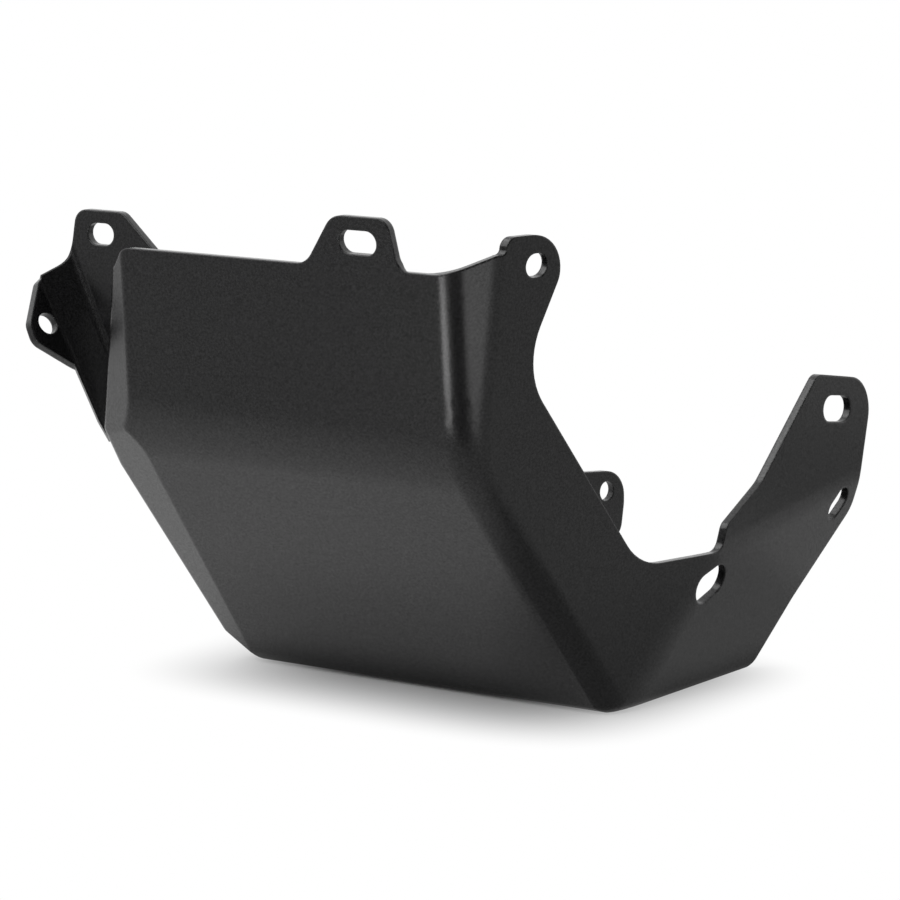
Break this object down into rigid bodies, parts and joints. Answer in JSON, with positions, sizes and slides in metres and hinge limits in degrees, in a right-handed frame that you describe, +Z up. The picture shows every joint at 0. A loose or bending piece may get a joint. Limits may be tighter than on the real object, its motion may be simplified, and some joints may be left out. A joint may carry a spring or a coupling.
{
  "type": "motorcycle skid plate",
  "caption": "Folded sheet-metal engine guard: a tub with sloping front, slotted mounting tabs, rear arm, side cut-out and a creased wing, black powder coat.",
  "frame": {"origin": "on the underside of the flat floor, below the middle of the part's box", "axes": "+Z up from the flat floor, -Y towards the sloping front, +X towards the side with the arm"},
  "size_m": [0.2398, 0.312, 0.1922],
  "materials": {
    "powder_coat": "satin black powder coat with a fine grain"
  },
  "bodies": {
    "root": {"skid_plate": "powder_coat"}
  },
  "joints": []
}
